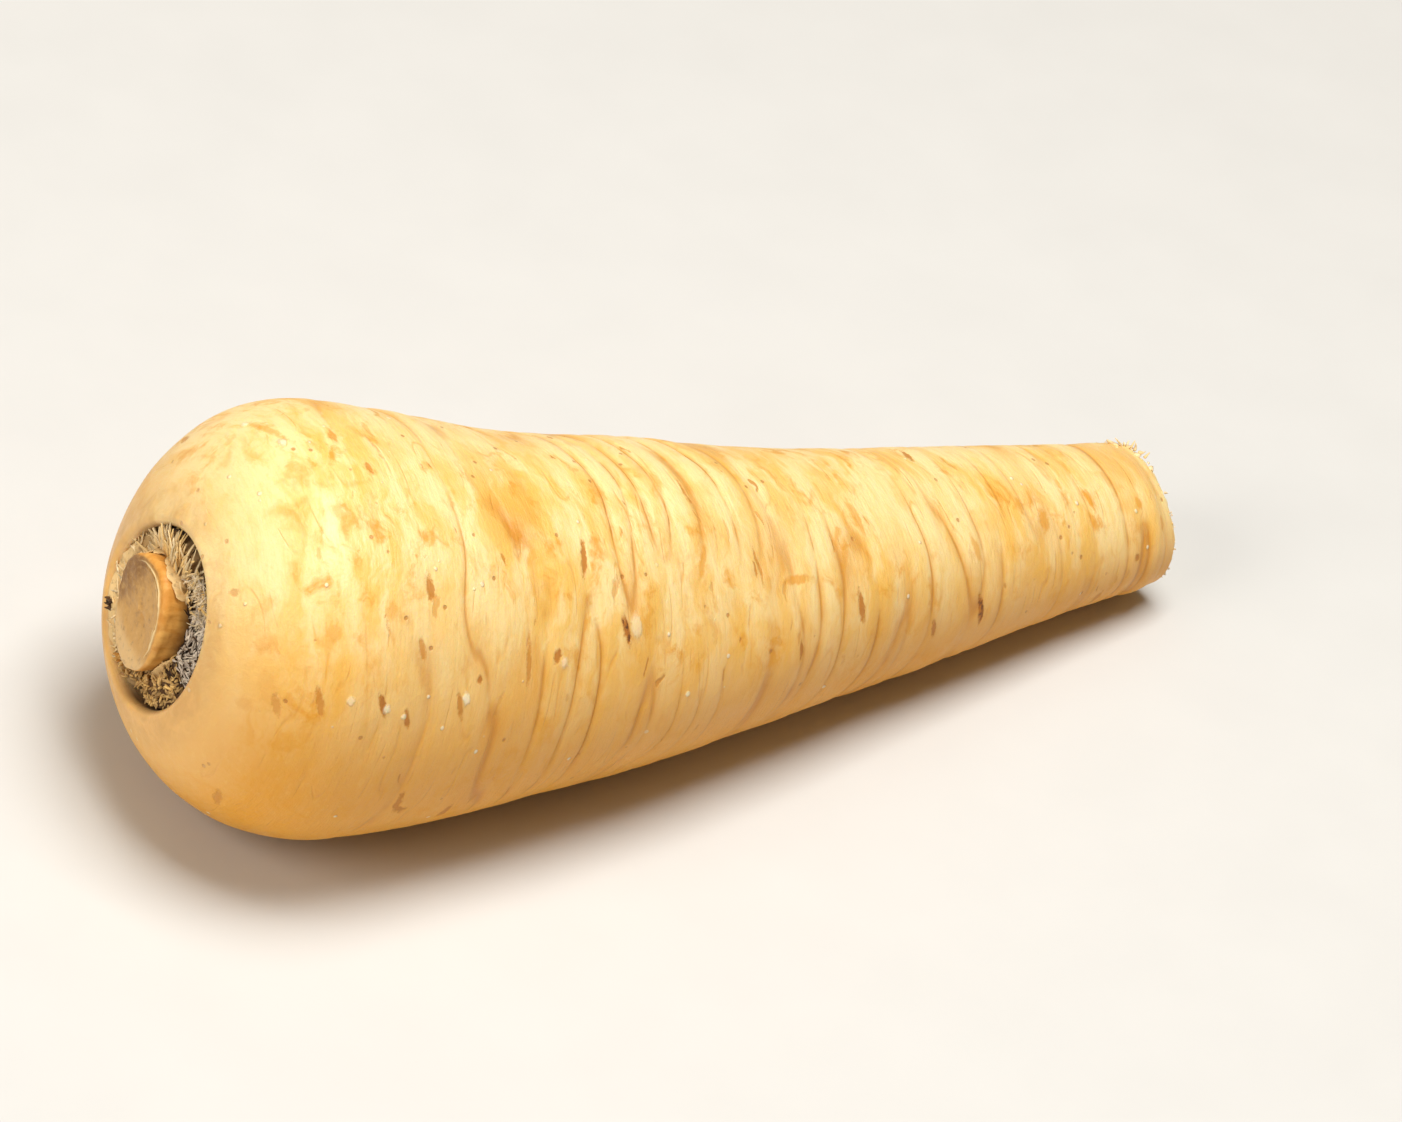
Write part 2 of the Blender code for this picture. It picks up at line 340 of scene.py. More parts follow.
def lip_turn():
    """Where along the dome the lip's arc begins, found by halving until the arc touches the pit's wall."""
    low, high = 0.0, math.pi / 2
    for _ in range(40):
        turn = (low + high) / 2
        _, wide, facing = dome(turn)
        if wide - LIP_ROUND * math.sin(facing) < PIT_RADIUS + LIP_ROUND:
            low = turn
        else:
            high = turn
    return turn


LIP_TURN = lip_turn()
LIP_ABOVE, _, LIP_FACING = dome(LIP_TURN)
SHOULDER_AT = LIP_ABOVE + LIP_ROUND * (1 - math.cos(LIP_FACING))


def taper(share):
    """The side below the shoulder, a Bezier curve: level at the shoulder, then nearly straight."""
    reach = ROOT_LENGTH - TIP_EDGE - SHOULDER_AT
    left = 1 - share
    along = 3 * left**2 * share * TAPER_HANDLE + 3 * left * share**2 * (1 - TIP_HANDLE) + share**3
    high = left**3 + 3 * left**2 * share + 3 * left * share**2 * TIP_FLARE
    return SHOULDER_AT + reach * along, TIP_RADIUS + (SHOULDER_RADIUS - TIP_RADIUS) * high


def root_profile(angle):
    """Stations and radii of every ring of the root's skin, from the pit's floor to the middle of the cut tip.

    The floor is flat, a quarter arc joins it to the wall, the lip is an arc, the crown is the dome, and the
    side is the taper. The cut tip's edge is a quarter arc, and its face is flat. Radii have a column for each
    angle. The slants say how much of the cut's slant each ring takes.
    """
    pit = PIT_RADIUS * pit_outline(angle)
    stations, radii, slants = [], [], []

    def add(station, radius, slant=0.0):
        stations.append(np.broadcast_to(np.atleast_1d(station), (len(radius),)))
        radii.append(radius)
        slants.append(np.broadcast_to(slant, (len(radius),)))

    def column(values):
        return np.asarray(values)[:, None]

    add(PIT_DEPTH, column(np.linspace(0.06, 1, 12)) * (pit - PIT_FOOT))
    turn = np.linspace(0, math.pi / 2, 5)[1:]
    add(PIT_DEPTH - PIT_FOOT * (1 - np.cos(turn)), pit - PIT_FOOT + PIT_FOOT * column(np.sin(turn)))
    add(np.linspace(PIT_DEPTH - PIT_FOOT, LIP_ROUND, 8)[1:-1], np.tile(pit, (6, 1)))
    turn = np.linspace(0, math.pi / 2 + LIP_FACING, 14)
    add(LIP_ROUND * (1 - np.sin(turn)), pit + LIP_ROUND * column(1 - np.cos(turn)))
    turn = LIP_TURN + (math.pi / 2 - LIP_TURN) * np.linspace(0, 1, 53)[1:] ** 1.15
    above, wide, _ = dome(turn)
    fade = ((math.pi / 2 - turn) / (math.pi / 2 - LIP_TURN)) ** 2
    station = SHOULDER_AT - above
    add(station, (column(wide) + (pit - PIT_RADIUS) * column(fade)) * swelling(angle, column(station)))
    share = np.linspace(0, 1, 315)[1:]
    station, radius = taper(share)
    add(station, column(radius) * swelling(angle, column(station)), np.clip((share - 23 / 24) * 24, 0, 1))
    end = ROOT_LENGTH - TIP_EDGE
    turn = np.linspace(0, math.pi / 2, 8)[1:]
    edge = TIP_RADIUS - TIP_EDGE * column(1 - np.cos(turn))
    add(end + TIP_EDGE * np.sin(turn), edge * swelling(angle, end), 1.0)
    face = (TIP_RADIUS - TIP_EDGE) * column(np.linspace(1, 0.05, 14)[1:])
    add(ROOT_LENGTH, face * swelling(angle, end), 1.0)
    return np.concatenate(stations), np.concatenate(radii), np.concatenate(slants)


def skin_radius(station, angle):
    """The skin's smooth radius at one station and angle."""
    stations, radii, _ = root_profile(np.array([angle]))
    return float(np.interp(station, stations[PIT_ROWS:], radii[PIT_ROWS:, 0]))


def crinkled(station, angle, radius):
    """How far the skin stands proud of its smooth shape, with the two noises that its creases follow.

    A fold is a round ridge between two creases, and a crease runs where a smooth noise crosses its middle
    value: the noise changes fast along the root and slowly round it, and slower noises set it aslant. A
    fold's height is one less the falling exponential of its noise's distance from the middle value.
    """
    aside, up = radius * np.cos(angle) / MM, radius * np.sin(angle) / MM
    along = station / MM

    def noise(start, length, breadth, seed):
        return soft_noise(start / length, aside / breadth, up / breadth, seed)

    drift = 9 * (noise(along, 40, 34, 1) - 0.5)
    drift += 2.0 * (noise(along, 10, 10, 2) - 0.5)
    body = np.clip((along - 9) / 26, 0, 1) * np.clip((ROOT_LENGTH / MM - 1 - along) / 5, 0, 1)
    fold = noise(along + drift, 3.3, 24, 3)
    wrinkle = noise(along + drift, 1.5, 8, 5)
    patches = np.clip(noise(along, 22, 16, 4) * 2.2 - 0.35, 0.12, 1)
    ridge = 1 - np.exp(-np.abs(fold - 0.5) / 0.10)
    fine = 1 - np.exp(-np.abs(wrinkle - 0.5) / 0.08)
    lumps = noise(along, 13, 12, 6) - 0.5
    dents = noise(along, 5, 5, 7) - 0.5
    size = 0.6 + 0.4 * np.clip(radius / SHOULDER_RADIUS, 0, 1)
    proud = (FOLDS * ridge * patches + WRINKLES * fine * (0.3 + 0.7 * patches)) * body * size
    proud += LUMPS * lumps * np.clip(along / 14, 0, 1) + DENTS * dents * np.clip(along / 6, 0, 1)
    for at, width, place, reach, slant, rise in PALE_SPECKS:
        place = math.radians(place)
        middle = skin_radius(at * MM, place) / MM
        around = (aside * -math.sin(place) + up * math.cos(place)) / reach
        outward = aside * math.cos(place) + up * math.sin(place)
        off = (along - at - slant * around * reach) / width
        proud += SPECKS * rise * np.exp(-(off**2) - around**2) * (outward > middle * 0.5)
    return proud * MM, fold, wrinkle, patches * body


def facing(grid):
    """Which way each point of a ringed surface faces: the cross product of the ways round it and along it."""
    around = np.roll(grid, -1, axis=1) - np.roll(grid, 1, axis=1)
    onward = np.gradient(grid, axis=0)
    normal = np.cross(around, onward)
    return normal / np.maximum(np.linalg.norm(normal, axis=-1, keepdims=True), 1e-12)


def ringed_mesh(name, grid, finish, slot, fanned=True, **values):
    """A mesh over rings of points: each end is closed by a fan, or the last ring is joined to the first."""
    rows, columns = grid.shape[:2]
    index = np.arange(rows * columns).reshape(rows, columns)
    onward = np.roll(index, -1, axis=1)
    quads = np.stack([index[:-1], onward[:-1], onward[1:], index[1:]], axis=-1).reshape(-1, 4)
    faces = quads.tolist()
    points = grid.reshape(-1, 3)
    if not fanned:
        faces += np.stack([index[-1], onward[-1], onward[0], index[0]], axis=-1).tolist()
    else:
        first, last = rows * columns, rows * columns + 1
        points = np.concatenate([points, grid[:1].mean(axis=1), grid[-1:].mean(axis=1)])
        faces += [[onward[0, j], index[0, j], first] for j in range(columns)]
        faces += [[index[-1, j], onward[-1, j], last] for j in range(columns)]
        for key, value in values.items():
            ends = [value[row, 0].reshape(1, -1) for row in (0, -1)]
            values[key] = np.concatenate([value.reshape(rows * columns, -1), *ends])
    return finished_mesh(name, points, faces, finish, slot, **values)


def finished_mesh(name, points, faces, finish, slot, **values):
    """Makes the object, gives its points their values, shades it smooth and rides it on the root."""
    mesh = bpy.data.meshes.new(name)
    mesh.from_pydata(points.tolist(), [], faces)
    for key, value in values.items():
        value = np.asarray(value).reshape(len(points), -1)
        kind, field = (("FLOAT_VECTOR", "vector") if value.shape[1] == 3 else ("FLOAT", "value"))
        mesh.attributes.new(key, kind, "POINT").data.foreach_set(field, value.ravel())
    mesh.shade_smooth()
    mesh.materials.append(finish)
    piece = bpy.data.objects.new(name, mesh)
    bpy.context.scene.collection.objects.link(piece)
    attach(piece, "root")
    return piece


def root_skin(finish):
    """The whole skin of the root: the CAD's profile, crinkled along the way each point faces."""
    angle = np.linspace(0, 2 * math.pi, ROUND_STEPS, endpoint=False)
    station, radius, slant = root_profile(angle)
    station = np.repeat(station[:, None], ROUND_STEPS, axis=1)
    angles = np.repeat(angle[None, :], len(station), axis=0)
    grid = along_root(station, radius * np.cos(angles), radius * np.sin(angles))
    grid[..., 0] -= TIP_SLANT * slant[:, None] * (grid[..., 2] + TIP_RADIUS)
    proud, fold, wrinkle, creased = crinkled(station, angles, radius)
    rows = np.arange(len(station))[:, None]
    inside = np.clip((PIT_ROWS - 6 - rows) / 8, 0, 1) * np.ones_like(radius)
    cut = (station >= ROOT_LENGTH - 0.5 * MM) * 1.0
    uneven = soft_noise(grid[..., 1] / (1.1 * MM), grid[..., 2] / (1.1 * MM), 0 * station, 11) - 0.5
    proud = proud * (1 - inside) + cut * uneven * 0.35 * MM
    grid = grid + facing(grid) * proud[..., None]
    grown = np.stack([station, radius * np.cos(angles), radius * np.sin(angles)], axis=-1) / MM
    # How far round towards the underside each point is, for the painted shade there: a deeper amber.
    under = 0.5 - 0.5 * np.sin(angles)
    values = {"grown": grown, "fold": fold, "wrinkle": wrinkle, "creased": creased}
    values.update(inside=inside, cut=cut, under=under)
    piece = ringed_mesh("root_skin", laid(grid), finish, "parsnip_skin", **values)
    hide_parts("root")


def stub_body(finish):
    """The stub: a ribbed side drawn in at its waist by a sine, a round edge, and a dished face with two rims.

    Each ring is a share of the stub's oval outline. The foot comes first, and the middle of the face last.
    """
    angle = np.linspace(0, 2 * math.pi, STUB_STEPS, endpoint=False)
    outline = stub_outline(angle)
    station = [np.full(STUB_STEPS, FOOT)] * 3
    shares = [np.full(STUB_STEPS, share) for share in (0.3, 0.7, STUB_FOOT_SHARE - 0.04)]
    ribs = 0.007 * np.sin(17 * angle + 1.5 * np.sin(2 * angle)) + 0.004 * np.sin(31 * angle + 0.7)
    for step in np.linspace(0, 1, 34):
        waist = STUB_FOOT_SHARE * (1 - step) + step - 0.05 * math.sin(math.pi * step)
        station.append(np.full(STUB_STEPS, FOOT + (STUB_TOP + STUB_ROUND - FOOT) * step))
        shares.append(waist + ribs * (1 - 0.5 * step))
    side_rows = len(station)
    for turn in np.linspace(0, math.pi / 2, 9)[1:]:
        station.append(STUB_TOP + STUB_ROUND * (1 - math.sin(turn)) + 0 * angle)
        shares.append(1.0 - 0.09 * (1 - math.cos(turn)) + ribs * 0.5)
    right = np.clip(0.25 + 1.2 * np.cos(angle - math.radians(138)), 0, 1)
    rims = []
    for share in np.linspace(0.91, 0, 50)[1:-1]:
        wander = share + 0.012 * np.sin(4 * angle + 1) + 0.008 * np.sin(9 * angle)
        outer, inner = (np.exp(-(((wander - at) / wide) ** 2)) for at, wide in ((0.86, 0.018), (0.77, 0.016)))
        rim = outer + 0.75 * inner * (0.4 + 0.6 * np.cos(3 * angle + 0.5) ** 2)
        rims.append(rim * right)
        station.append(STUB_TOP + STUB_DISH * (1 - share) - RIM_HEIGHT * rim * right)
        shares.append((share + ribs * 0.5 * share) + 0 * angle)
    station, shares = np.array(station), np.array(shares)
    rim = np.zeros_like(shares)
    rim[-len(rims):] = np.array(rims)
    top = np.clip((FOOT - station) / (FOOT - STUB_TOP), 0, 1)
    lift = 0.35 * MM * np.sin(angle + 0.3) + 0.15 * MM * np.sin(3 * angle)
    station = station - lift * top**3
    aside = STUB_OFFSET[0] + shares * outline * np.cos(angle)
    up = STUB_OFFSET[1] + shares * outline * np.sin(angle)
    # The face's colour reaches over the rounded edge, but for where the rims stand.
    rows = np.arange(len(station))[:, None]
    face = np.clip((rows - side_rows - 0.5 - 6.5 * right) / 2, 0, 1)
    rough, fine = (
        soft_noise(aside / (size * MM), up / (size * MM), station / (size * MM), seed) - 0.5
        for size, seed in ((1.3, 21), (0.5, 22))
    )
    rough = rough + 0.5 * fine
    grid = along_root(station, aside, up)
    grid = grid + facing(grid) * (rough * STUB_ROUGH * np.clip(rows / 4, 0, 1))[..., None]
    across = np.stack([shares * np.cos(angle), shares * np.sin(angle), station / MM], axis=-1)
    # The rings run up from the foot, so they are turned about for the faces to point outwards.
    grid, face, across, rim = (values[::-1] for values in (laid(grid), face, across, rim))
    piece = ringed_mesh("cut_stub", grid, finish, "cut_leafstalk", face=face, across=across, rim=rim)
    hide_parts("leafstalk_stub")


def near_angle(angle, degrees, reach):
    """1 at a place round the root, falling smoothly to 0 at the reach either way."""
    away = (angle - math.radians(degrees) + math.pi) % (2 * math.pi) - math.pi
    return np.clip(1 - (away / math.radians(reach)) ** 2, 0, 1) ** 2


def collar_height(angle, share):
    """The station of the collar's top at an angle, and a share of the way from the stub to the pit's wall.

    It stands high at the left and the top, is lumpy all over, and drops into a crevice along the wall at the
    upper right.
    """
    x, y = np.cos(angle) * (6 + 5 * share), np.sin(angle) * (6 + 5 * share)
    lumps = soft_noise(x / 2.4, y / 2.4, 0 * x, 31) - 0.5
    lumps = lumps + 0.6 * (soft_noise(x / 0.8, y / 0.8, 0 * x, 32) - 0.5)
    left = near_angle(angle, 325, 80)
    height = 1.9 * MM - 1.9 * MM * left * (0.6 + 0.4 * share) - 1.2 * MM * near_angle(angle, 85, 60)
    height = height + 1.2 * MM * near_angle(angle, 203, 13) * share + 0.8 * MM * near_angle(angle, 262, 14)
    crevice = near_angle(angle, 114, 48) * np.clip((share - 0.72) / 0.16, 0, 1)
    return height + 1.1 * MM * lumps * (1 - 0.6 * left) + 2.2 * MM * crevice


def collar_place(angle, share, station):
    """A place over the collar: between the stub's foot and the pit's wall, at a station."""
    inner = stub_outline(angle)
    outer = PIT_RADIUS * pit_outline(angle) - 0.25 * MM
    aside = (1 - share) * (STUB_OFFSET[0] + inner * np.cos(angle)) + share * outer * np.cos(angle)
    up = (1 - share) * (STUB_OFFSET[1] + inner * np.sin(angle)) + share * outer * np.sin(angle)
    return along_root(station, aside, up)


def blended(first, second, share):
    """A share of the way from one colour to another, for each point."""
    return np.array(first) * (1 - share[..., None]) + np.array(second) * share[..., None]


def collar_bed(finish):
    """The collar's lumpy bed: a ring whose section runs up the stub, over the lumps and down the pit's wall.

    Each row is a share of the way from stub to wall, sunk by a share of the way from the lumps to the foot.
    """
    angle = np.linspace(0, 2 * math.pi, COLLAR_STEPS, endpoint=False)
    section = [(0.5, 1.0), (0.02, 1.0), (0.0, 0.5)]
    section += [(share, 0.0) for share in np.linspace(0, 1, 30)]
    section += [(1.0, 0.5), (0.9, 1.0)]
    rows = []
    for share, sunk in section:
        height = collar_height(angle, share)
        rows.append(collar_place(angle, share, FOOT - (FOOT - height) * (1 - sunk) if sunk else height))
    share = np.array([share for share, _ in section])[:, None] * np.ones(COLLAR_STEPS)
    angle = np.ones((len(section), 1)) * angle
    left, high, front = (near_angle(angle, *patch) for patch in ((335, 95), (80, 60), (165, 65)))
    tint = blended(BARK, CREAM, left * np.clip(share * 1.6 - 0.1, 0, 1))
    # Painted shade: the bed turns near-black along the wall at the top and all over at the front, where the
    # crevice lies in shade.
    tint = tint * (1 - high[..., None]) + blended(TAN, DARK, np.clip(share * 3 - 1.9, 0, 1)) * high[..., None]
    tint = tint * (1 - front[..., None]) + np.array(DARK) * front[..., None]
    grid = laid(np.array(rows))
    piece = ringed_mesh("collar_bed", grid, finish, "dried_leaf_base", fanned=False, tint=tint)
    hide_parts("leaf_base_collar")


def strands(name, starts, ways, bends, lengths, widths, flat, tint, finish, slot):
    """Many thin strands in one mesh: each a bent line with five-sided sections and a flat cap at each end.

    A strand's place is its start, plus its length times its way times the share gone, plus its length times
    its bend times the share's square. Its section is an oval whose one half-width is flat times the other,
    and it narrows by seven tenths of the share's square.
    """
    steps, sides = STRAND_STEPS, STRAND_SIDES
    count = len(starts)
    gone = np.linspace(0, 1, steps)[None, :, None]
    middle = starts[:, None] + lengths[:, None, None] * (ways[:, None] * gone + bends[:, None] * gone**2)
    onward = ways[:, None] + 2 * bends[:, None] * gone
    onward = onward / np.linalg.norm(onward, axis=-1, keepdims=True)
    across = np.cross(onward, np.array([1.0, 0.05, 0.05]))
    across = across / np.linalg.norm(across, axis=-1, keepdims=True)
    other = np.cross(onward, across)
    thin = widths[:, None, None] * (1 - 0.7 * gone**2) * (0.75 + 0.25 * np.minimum(gone * 6, 1))
    turn = np.arange(sides) * 2 * math.pi / sides
    rings = middle[:, :, None] + thin[:, :, None] * (
        across[:, :, None] * np.cos(turn)[:, None] + other[:, :, None] * np.sin(turn)[:, None] * flat
    )
    index = np.arange(count * steps * sides).reshape(count, steps, sides)
    after = np.roll(index, -1, axis=2)
    quads = np.stack([index[:, :-1], after[:, :-1], after[:, 1:], index[:, 1:]], axis=-1).reshape(-1, 4)
    caps = np.concatenate([index[:, 0, ::-1], index[:, -1]])
    tints = np.repeat(tint, steps * sides, axis=0)
    faces = quads.tolist() + caps.tolist()
    return finished_mesh(name, laid(rings.reshape(-1, 3)), faces, finish, slot, tint=tints)


def combed(name, seed, count, places, shares, comb, lengths, widths, flat, tints, finish):
    """A patch of strands over the collar: random places within the patch, combed outward, around and upward.

    Places are degrees round the root, and shares run from the stub to the wall. Comb is the mean way outward,
    around and rising, and how loose it is. Lengths and half-widths are in mm, and each strand's colour is a
    random blend of the two tints.
    """
    rng = np.random.default_rng(seed)
    angle = np.radians(rng.uniform(*places, count))
    share = rng.uniform(*shares, count)
    height = collar_height(angle, share) - 0.05 * MM
    outward = np.stack([0 * angle, np.cos(angle), np.sin(angle)], axis=-1)
    around = np.stack([0 * angle, -np.sin(angle), np.cos(angle)], axis=-1)
    rise = np.tile([-1.0, 0, 0], (count, 1))
    loose = rng.normal(0, comb[3], (3, count, 1))
    ways = outward * (comb[0] + loose[0]) + around * (comb[1] + loose[1]) + rise * (comb[2] + 0.5 * loose[2])
    ways /= np.linalg.norm(ways, axis=1, keepdims=True)
    bends = rng.normal(0, 0.16, (count, 3)) - rise * 0.22
    room = PIT_RADIUS * (1 - share) * 0.75 + 1.4 * MM
    length = np.minimum(rng.uniform(*lengths, count) * MM, room)
    tint = blended(tints[0], tints[1], rng.random(count)) * rng.uniform(0.75, 1.15, (count, 1))
    starts = collar_place(angle, share, height)
    widths = rng.uniform(*widths, count) * MM
    strands(name, starts, ways, bends, length, widths, flat, tint, finish, "dried_leaf_base")


def tip_shreds(finish):
    """Small pale torn shreds and crumbs on the cut tip's upper edge and its rim."""
    rng = np.random.default_rng(49)
    shreds, crumbs = 22, 44
    count = shreds + crumbs
    angle = np.radians(np.concatenate([rng.normal(64, 13, shreds), rng.uniform(50, 215, crumbs)]))
    size = np.concatenate([rng.uniform(0.5, 1.2, shreds), rng.uniform(0.10, 0.22, crumbs)]) * MM
    station = np.concatenate([rng.uniform(0.0, 3.0, shreds), rng.uniform(0.1, 0.9, crumbs)])
    station = ROOT_LENGTH - station * MM
    radius = (TIP_RADIUS - 0.25 * MM) * swelling(angle, station)
    starts = along_root(station, radius * np.cos(angle), radius * np.sin(angle))
    starts[:, 0] -= TIP_SLANT * (starts[:, 2] + TIP_RADIUS)
    ways = np.stack([rng.normal(0.1, 0.6, count), 0.45 * np.cos(angle), 0.45 * np.sin(angle)], axis=-1)
    ways = ways + rng.normal(0, 0.4, (count, 3))
    ways /= np.linalg.norm(ways, axis=1, keepdims=True)
    bends = rng.normal(0, 0.4, (count, 3))
    widths = np.concatenate([rng.uniform(0.3, 0.6, shreds), rng.uniform(0.15, 0.3, crumbs)]) * MM
    tint = blended(PALE, CREAM, rng.random(count))
    strands("tip_shreds", starts, ways, bends, size, widths, 0.35, tint, finish, "parsnip_skin")


def flake(number, place, spread, point_at, finish):
    """A papery layer: two thin sheets joined all round, wrapped round the stub, highest in their middle.

    The upper edge drops by a power of the distance from the middle and by two noises, so that it looks torn.
    """
    across = np.linspace(-1, 1, 60)
    rise = np.linspace(0, 1, 24)

    def ragged(places, seed):
        return soft_noise(places, 0 * places, 0 * places, seed + number)

    torn = 0.45 * np.abs(across) ** 2.5 + 0.22 * ragged(across * 2.2 + 9 * number, 50)
    torn += 0.10 * ragged(across * 9 + number, 60)
    reach = 1 - np.clip(torn - 0.1, 0, 0.8)
    angle = place + spread * across
    curl = 0.30 * MM * rise[:, None] ** 3 * (ragged(across * 2, 70) - 0.2)
    ribs = 0.03 * MM * np.sin(across * 33 + number)
    close = STUB_FOOT_SHARE * (1 - 0.11 * rise[:, None])
    near = stub_outline(angle) * close + 0.42 * MM + ribs + curl
    height = FLAKE_FOOT + 0.6 * MM + (point_at - FLAKE_FOOT - 0.6 * MM) * rise[:, None] * reach
    thin = 0.22 * MM * (1 - 0.5 * rise[:, None]) + 0 * near
    grids = [
        along_root(height + 0 * r, STUB_OFFSET[0] + r * np.cos(angle), STUB_OFFSET[1] + r * np.sin(angle))
        for r in (near, near + thin)
    ]
    rows, columns = grids[0].shape[:2]
    index = np.arange(rows * columns).reshape(rows, columns)
    quads = np.stack([index[:-1, :-1], index[1:, :-1], index[1:, 1:], index[:-1, 1:]], axis=-1).reshape(-1, 4)
    sheets = np.concatenate([quads[:, ::-1], quads + rows * columns])
    edge = np.concatenate([index[0, :-1], index[:-1, -1], index[-1, :0:-1], index[:0:-1, 0]])
    after = np.roll(edge, -1)
    rim = np.stack([edge + rows * columns, after + rows * columns, after, edge], axis=-1)
    faces = np.concatenate([sheets, rim])
    points = np.concatenate([grid.reshape(-1, 3) for grid in grids])
    high = np.tile(np.repeat(rise, columns), 2)
    tint = blended(TAN, CREAM, high**1.5)
    name = f"papery_flake_{number}"
    piece = finished_mesh(name, laid(points), faces.tolist(), finish, "papery_sheath", tint=tint)
    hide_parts(f"sheath_flake_{number}")


# Finishes


def add_node(tree, kind, inputs=None, **settings):
    """A node with its settings made and its sockets filled or linked."""
    made = tree.nodes.new(kind)
    for key, value in settings.items():
        setattr(made, key, value)
    for key, value in (inputs or {}).items():
        put(tree, made.inputs[key], value)
    return made


def put(tree, socket, value):
    """Links a socket to another node's output, or gives it a plain value."""
    if isinstance(value, bpy.types.NodeSocket):
        tree.links.new(value, socket)
    else:
        socket.default_value = value


def maths(tree, operation, first, second=0.0):
    return add_node(tree, "ShaderNodeMath", {0: first, 1: second}, operation=operation).outputs[0]


def plus(tree, first, second):
    return maths(tree, "ADD", first, second)


def less(tree, first, second):
    return maths(tree, "SUBTRACT", first, second)


def times(tree, first, second):
    return maths(tree, "MULTIPLY", first, second)


def vector_maths(tree, operation, first, second, output="Vector"):
    made = add_node(tree, "ShaderNodeVectorMath", {0: first, 1: second}, operation=operation)
    return made.outputs[output]


def ranged(tree, value, low, high, new_low=0.0, new_high=1.0, smooth=True):
    """The value's share of the way from low to high, as a new range."""
    sockets = {"Value": value, "From Min": low, "From Max": high, "To Min": new_low, "To Max": new_high}
    kind = "SMOOTHSTEP" if smooth else "LINEAR"
    return add_node(tree, "ShaderNodeMapRange", sockets, interpolation_type=kind).outputs["Result"]


def mixed(tree, share, first, second):
    """A share of the way from one colour to another."""
    made = add_node(tree, "ShaderNodeMix", data_type="RGBA", blend_type="MIX", clamp_factor=True)
    sockets = {socket.identifier: socket for socket in made.inputs}
    for key, value in (("Factor_Float", share), ("A_Color", first), ("B_Color", second)):
        put(tree, sockets[key], value)
    return next(socket for socket in made.outputs if socket.identifier == "Result_Color")


def stretched(tree, vector, scale, shift=(0, 0, 0)):
    made = add_node(tree, "ShaderNodeMapping", {"Vector": vector, "Scale": scale, "Location": shift})
    return made.outputs["Vector"]


def clouds(tree, vector, detail=3.0, roughness=0.55, distortion=0.0, output="Fac"):
    sockets = {"Vector": vector, "Scale": 1.0, "Detail": detail, "Roughness": roughness}
    return add_node(tree, "ShaderNodeTexNoise", sockets | {"Distortion": distortion}).outputs[output]


def cells(tree, vector):
    """Cells round scattered points: the distance from each cell's middle, and its random colour's parts."""
    made = add_node(tree, "ShaderNodeTexVoronoi", {"Vector": vector, "Scale": 1.0}, feature="F1")
    pick = add_node(tree, "ShaderNodeSeparateColor", {0: made.outputs["Color"]})
    return made.outputs["Distance"], pick.outputs


def attribute(tree, name, output="Fac"):
    return add_node(tree, "ShaderNodeAttribute", attribute_name=name).outputs[output]


def new_finish(name):
    made = bpy.data.materials.new(name)
    made.use_nodes = True
    return made, made.node_tree, made.node_tree.nodes["Principled BSDF"]


def coated(tree, shader, colour, rough, shine, height=None, depth=0.0):
    """Gives the shader its colour, roughness and shine, and its height, pressed in to a depth."""
    tree.links.new(colour, shader.inputs["Base Color"])
    tree.links.new(rough, shader.inputs["Roughness"])
    shader.inputs["Specular IOR Level"].default_value = shine
    if height is not None:
        bump = add_node(tree, "ShaderNodeBump", {"Height": height, "Strength": 0.6, "Distance": depth})
        tree.links.new(bump.outputs["Normal"], shader.inputs["Normal"])


def mark_group():
    """A soft-edged oval mark: its distance along and around, each over its reach, with a torn edge."""
    tree = bpy.data.node_groups.new("skin_mark", "ShaderNodeTree")
    for name in ("Place", "Middle", "Along", "Around"):
        tree.interface.new_socket(name, in_out="INPUT", socket_type="NodeSocketVector")
    for name in ("Torn", "Strength"):
        tree.interface.new_socket(name, in_out="INPUT", socket_type="NodeSocketFloat")
    tree.interface.new_socket("Mark", in_out="OUTPUT", socket_type="NodeSocketFloat")
    given, made = tree.nodes.new("NodeGroupInput").outputs, tree.nodes.new("NodeGroupOutput")
    off = vector_maths(tree, "SUBTRACT", given["Place"], given["Middle"])
    squares = []
    for name in ("Along", "Around"):
        reach = vector_maths(tree, "DOT_PRODUCT", off, given[name], "Value")
        squares.append(maths(tree, "POWER", maths(tree, "ABSOLUTE", reach), 2.0))
    far = maths(tree, "SQRT", plus(tree, *squares))
    far = plus(tree, far, times(tree, less(tree, given["Torn"], 0.5), 1.7))
    near = ranged(tree, far, 0.55, 1.25, 1.0, 0.0)
    tree.links.new(times(tree, near, given["Strength"]), made.inputs["Mark"])
    return tree


def placed_marks(tree, group, place, torn, marks):
    """The strongest of several marks at each point of the skin."""
    strongest = None
    for at, width, degrees, reach, slant, strength in marks:
        angle = math.radians(degrees)
        radius = skin_radius(at * MM, angle) / MM
        around = Vector((0, -math.sin(angle), math.cos(angle)))
        sockets = {
            "Place": place,
            "Torn": torn,
            "Middle": (at, radius * math.cos(angle), radius * math.sin(angle)),
            "Along": (Vector((1, 0, 0)) - around * slant) / width,
            "Around": around / reach,
            "Strength": strength,
        }
        mark = add_node(tree, "ShaderNodeGroup", sockets, node_tree=group).outputs["Mark"]
        strongest = mark if strongest is None else maths(tree, "MAXIMUM", strongest, mark)
    return strongest


def crease_lines(tree, value, width):
    """Thin lines where a smooth value crosses its middle."""
    off = maths(tree, "ABSOLUTE", less(tree, value, 0.5))
    return ranged(tree, off, 0.0, width, 1.0, 0.0)


